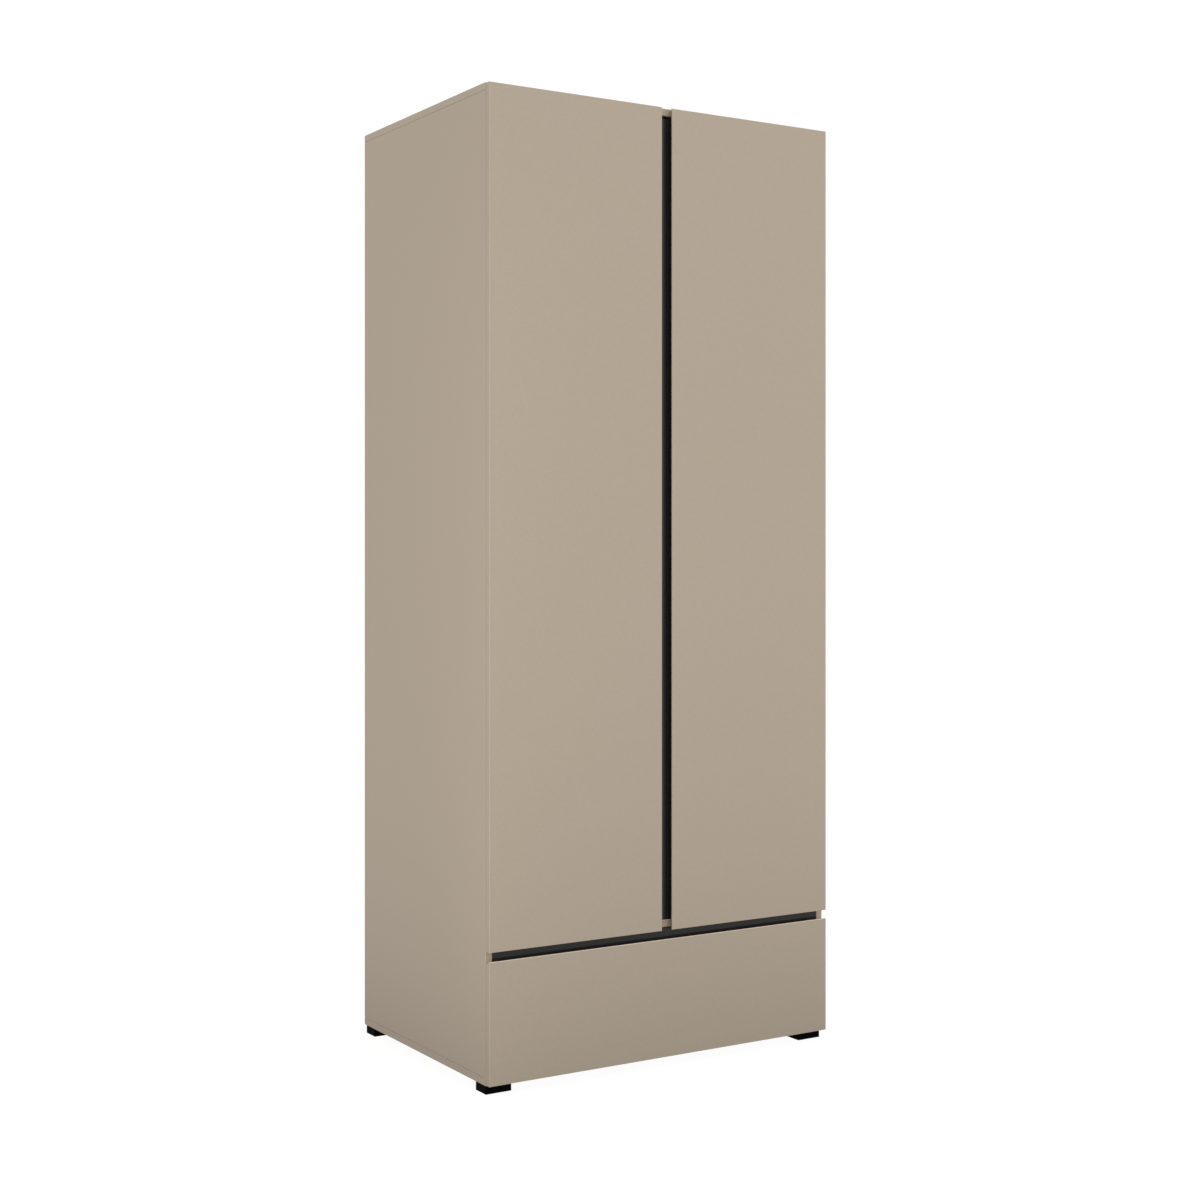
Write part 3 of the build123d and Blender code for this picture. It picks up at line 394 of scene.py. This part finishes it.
# ---- Hinge arms: the screws that fix and adjust them ----
ADJUSTERS = ((0.012, 0.0032), (0.036, 0.0026))  # distance from the rear of an arm, and radius of the head
ADJUSTER_RISE = 0.0011  # how far a head stands above its arm
ADJUSTER_HEAD = 0.0012
ADJUSTER_LENGTH = 0.004
REAR_ZONE = 0.001
for hand, inward in HANDS:
    adjusters = bmesh.new()
    for points in solids(f"{hand}_hinge_arms"):
        low, high = extent(points)
        rear = [point for point in points if point.y > high.y - REAR_ZONE]
        face_x = inward * max(inward * point.x for point in rear)
        for back, radius in ADJUSTERS:
            origin = (face_x + inward * ADJUSTER_RISE, high.y - back, (low.z + high.z) / 2)
            place = pointing(origin, (inward, 0, 0))
            add_screw(adjusters, Spot(place, radius, ADJUSTER_HEAD, 0.6 * radius, ADJUSTER_LENGTH))
    finish_piece(adjusters, f"{hand}_hinge_adjusters", "carcass", "screw_steel")

# ---- Runners: balls in their cages, above and below each middle member ----
CageRow = namedtuple("CageRow", "rise across start")  # from the member's middle, outer side and front
CAGE_ROWS = (CageRow(0.02015, 0.0034, 0.28), CageRow(0.01665, 0.005, 0.03))
BALL_RADIUS = 0.00105
BALL_PITCH = 0.008
CAGE_BALLS = 22
CAGE_SIZE = (0.0044, CAGE_BALLS * BALL_PITCH + 0.006, 0.0007)
CAGE_ROUND = 0.0002


def add_cage(mesh, first):
    """A row of balls that runs back from first, and the flat strip that keeps them apart."""
    for step in range(CAGE_BALLS):
        at = Matrix.Translation(first + Vector((0, step * BALL_PITCH, 0)))
        bmesh.ops.create_uvsphere(mesh, u_segments=12, v_segments=8, radius=BALL_RADIUS, matrix=at)
    middle = first + Vector((0, (CAGE_BALLS - 1) * BALL_PITCH / 2, 0))
    place = Matrix.Translation(middle) @ Matrix.Diagonal((*CAGE_SIZE, 1))
    strip = bmesh.ops.create_cube(mesh, size=1, matrix=place)["verts"]
    edges = dict.fromkeys(edge for vertex in strip for edge in vertex.link_edges)
    long_edges = [edge for edge in edges if edge.calc_length() > CAGE_SIZE[1] / 2]
    bmesh.ops.bevel(mesh, geom=long_edges, offset=CAGE_ROUND, segments=2, affect="EDGES")


for hand, inward in HANDS:
    low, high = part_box(f"runner_slide_{hand}")
    outer_x, middle_z = (low.x if inward > 0 else high.x), (low.z + high.z) / 2
    cages = bmesh.new()
    for row in CAGE_ROWS:
        for up in (-1, 1):
            row_x, row_z = outer_x + inward * row.across, middle_z + up * row.rise
            add_cage(cages, Vector((row_x, low.y + row.start, row_z)))
    finish_piece(cages, f"runner_cages_{hand}", "runner_slides", "runner_steel")

# ---- Studio: a white room for the eye, light bounced off the floor, and a lamp at the left ----
ROOM_HALF = 30
ROOM_DROP = 0.0002  # how far the white floor lies below the feet
CARD_DROP = 0.002
WORLD_TILT = 0.33  # the studio is this share dimmer on the left and brighter on the right
PATCH_SHIFT = 0.1  # the floor's dim patch lies this far to the right of the wardrobe's middle
PATCH_INSET = 0.2  # and is this much narrower at each side
PATCH_GLOW = 0.45
PATCH_REACH = 1.5
FLOOR_TINT = (1, 0.98, 0.94, 1)
LAMP_TINT = (1, 0.93, 0.8)
LAMP_POWER = 0.85
LAMP_SIZE = (0.4, 1.8)
LAMP_PLACE = (LOW.x - 0.4, LOW.y - 0.25, 0.95)
EVERYWHERE = 100


def stage_mesh(name, points, faces):
    """An object of the studio, which isn't part of the wardrobe."""
    mesh = bpy.data.meshes.new(name)
    mesh.from_pydata(points, [], faces)
    staged = bpy.data.objects.new(name, mesh)
    bpy.context.scene.collection.objects.link(staged)
    return staged


def square(half, z):
    """Corners of a level square, half wide on each side of the middle."""
    return [(-half, -half, z), (half, -half, z), (half, half, z), (-half, half, z)]


def bounce_card(name, points, middle, half_sizes, near, reach):
    """A card only light rays see.

    Its glow is near inside the box of half_sizes around middle, and rises to 1 at reach metres from it.
    """
    card = stage_mesh(name, points, [(0, 1, 2, 3)])
    material, nodes, links = new_material(name)
    nodes.remove(nodes["Principled BSDF"])
    place = nodes.new("ShaderNodeTexCoord")
    shift = node_for(nodes, "ShaderNodeVectorMath", "SUBTRACT")
    shift.inputs[1].default_value = middle
    mirror = node_for(nodes, "ShaderNodeVectorMath", "ABSOLUTE")
    outside = node_for(nodes, "ShaderNodeVectorMath", "SUBTRACT")
    outside.inputs[1].default_value = half_sizes
    clip = node_for(nodes, "ShaderNodeVectorMath", "MAXIMUM")
    distance = node_for(nodes, "ShaderNodeVectorMath", "LENGTH")
    spread = nodes.new("ShaderNodeMapRange")
    spread.interpolation_type = "SMOOTHSTEP"
    set_inputs(spread, {"From Min": 0.0, "From Max": reach, "To Min": near, "To Max": 1.0})
    glow = nodes.new("ShaderNodeEmission")
    glow.inputs["Color"].default_value = FLOOR_TINT
    links.new(place.outputs["Object"], shift.inputs[0])
    steps = [shift, mirror, outside, clip, distance]
    for before, after in zip(steps, steps[1:]):
        links.new(before.outputs["Vector"], after.inputs[0])
    links.new(distance.outputs["Value"], spread.inputs["Value"])
    links.new(spread.outputs["Result"], glow.inputs["Strength"])
    links.new(glow.outputs["Emission"], nodes["Material Output"].inputs["Surface"])
    card.data.materials.append(material)
    card.visible_camera = False
    card.visible_shadow = False


MIDDLE = (LOW + HIGH) / 2
HALF = (HIGH - LOW) / 2

# The room is white in every view, and leaves the light to the world, the card and the lamp.
room = stage_mesh("studio_room", square(ROOM_HALF, LOW.z - ROOM_DROP) + square(ROOM_HALF, ROOM_HALF),
                  [(0, 1, 2, 3), (0, 1, 5, 4), (1, 2, 6, 5), (2, 3, 7, 6), (3, 0, 4, 7), (4, 5, 6, 7)])
room_paint = surface("room_paint", (0.08, 0.08, 0.08), 0.002, 3, (0.8, 0.9), 0.00001,
                     **{"Emission Color": (1, 1, 1, 1), "Emission Strength": 0.95, "Specular IOR Level": 0.0})
room.data.materials.append(room_paint)
room.visible_diffuse = False
room.visible_glossy = False
room.visible_transmission = False
room.visible_shadow = False

bounce_card("floor_bounce", square(ROOM_HALF, LOW.z - CARD_DROP), (MIDDLE.x + PATCH_SHIFT, MIDDLE.y, 0),
            (HALF.x - PATCH_INSET, HALF.y, EVERYWHERE), PATCH_GLOW, PATCH_REACH)

scene = bpy.context.scene
side_lamp = bpy.data.objects.new("side_lamp", bpy.data.lights.new("side_lamp", "AREA"))
side_lamp.data.shape = "RECTANGLE"
side_lamp.data.size, side_lamp.data.size_y = LAMP_SIZE
side_lamp.data.energy = LAMP_POWER
side_lamp.data.color = LAMP_TINT
side_lamp.location = LAMP_PLACE
side_lamp.rotation_euler = (math.pi / 2, 0, -math.pi / 2)
side_lamp.visible_camera = False
scene.collection.objects.link(side_lamp)

world = bpy.data.worlds.new("studio")
world.use_nodes = True
world_nodes, world_links = world.node_tree.nodes, world.node_tree.links
direction = world_nodes.new("ShaderNodeTexCoord")
parts = world_nodes.new("ShaderNodeSeparateXYZ")
tilt = world_nodes.new("ShaderNodeMapRange")
set_inputs(tilt, {"From Min": -1.0, "From Max": 1.0, "To Min": 1 - WORLD_TILT, "To Max": 1 + WORLD_TILT})
world_links.new(direction.outputs["Generated"], parts.inputs["Vector"])
world_links.new(parts.outputs["X"], tilt.inputs["Value"])
world_links.new(tilt.outputs["Result"], world_nodes["Background"].inputs["Strength"])
world_nodes["Background"].inputs["Color"].default_value = (1, 1, 1, 1)
scene.world = world
scene.view_settings.view_transform = "Standard"

# ---- Camera: level, its place given as shares of the carcass height ----
CAMERA_LEFT = 0.8836
CAMERA_AHEAD = 1.6351
CAMERA_UP = 0.5354
CAMERA_YAW = math.radians(31.78)
FOCAL_SHARE = 1.558583  # focal length as a share of the width of the view
HORIZON_SHARE = 0.0429  # how far the view is shifted down, as a share of its width

camera = bpy.data.objects.new("camera", bpy.data.cameras.new("camera"))
scene.collection.objects.link(camera)
camera.data.lens = FOCAL_SHARE * camera.data.sensor_width
camera.data.shift_y = -HORIZON_SHARE
camera.location = (
    LOW.x - CAMERA_LEFT * CARCASS_HEIGHT,
    FRONT_Y - CAMERA_AHEAD * CARCASS_HEIGHT,
    CARCASS_BASE + CAMERA_UP * CARCASS_HEIGHT,
)
camera.rotation_euler = (math.pi / 2, 0, -CAMERA_YAW)
scene.camera = camera
